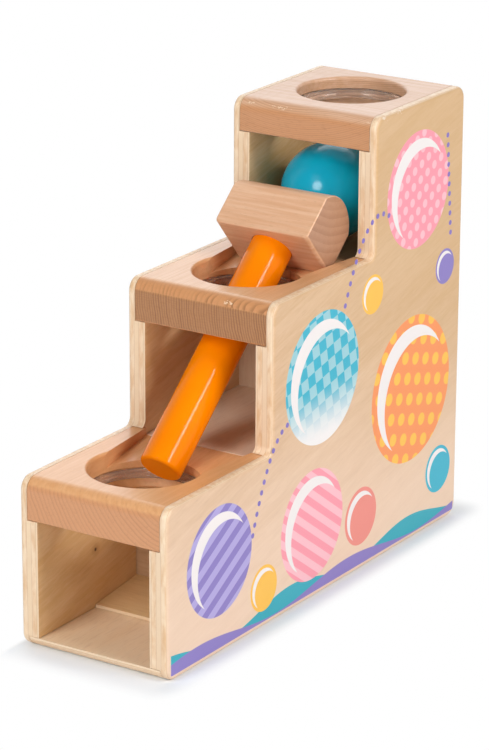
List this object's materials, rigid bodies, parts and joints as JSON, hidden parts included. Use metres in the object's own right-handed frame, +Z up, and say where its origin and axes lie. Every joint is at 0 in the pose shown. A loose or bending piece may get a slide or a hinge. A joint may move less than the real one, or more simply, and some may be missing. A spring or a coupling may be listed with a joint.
{
  "type": "pound and roll tower",
  "caption": "Stepped wooden tower toy with pounding holes and grip rings in its steps, chambers with ramps below them, a loose ball and a hammer to knock the ball through.",
  "frame": {"origin": "on the ground under the middle of the tower", "axes": "+X to the right seen from the front, towards the printed panel; +Y from the low front step to the high back; +Z up"},
  "size_m": [0.1, 0.32, 0.275],
  "materials": {
    "plywood": "satin clear lacquer",
    "printed_plywood": "satin clear lacquer with a coloured print on the outer face",
    "beech": "satin clear lacquer",
    "pale_beech": "satin clear lacquer",
    "clear_ring": "clear, slightly grey, smooth",
    "orange_lacquer": "gloss lacquer",
    "turquoise_lacquer": "gloss lacquer"
  },
  "bodies": {
    "tower": {"left_side_panel": "plywood", "right_side_panel": "printed_plywood", "lower_step_block": "beech", "middle_step_block": "beech", "top_step_block": "beech", "floor_board": "plywood", "back_board": "plywood", "lower_riser": "plywood", "middle_riser": "plywood", "lower_ramp": "plywood", "middle_ramp": "plywood", "upper_ramp": "plywood", "lower_grip_ring": "clear_ring", "middle_grip_ring": "clear_ring", "top_grip_ring": "clear_ring"},
    "hammer": {"hammer_head": "pale_beech", "hammer_handle": "orange_lacquer"},
    "ball": {"ball": "turquoise_lacquer"}
  },
  "joints": [
    {"name": "hammer_draw", "type": "slide", "parent": "tower", "child": "hammer", "axis": [0, 0.7524, 0.6587], "range_m": [0, 0.0045]},
    {"name": "ball_roll", "type": "slide", "parent": "tower", "child": "ball", "axis": [0, 0.9998, 0.0175], "range_m": [0, 0.034]}
  ]
}
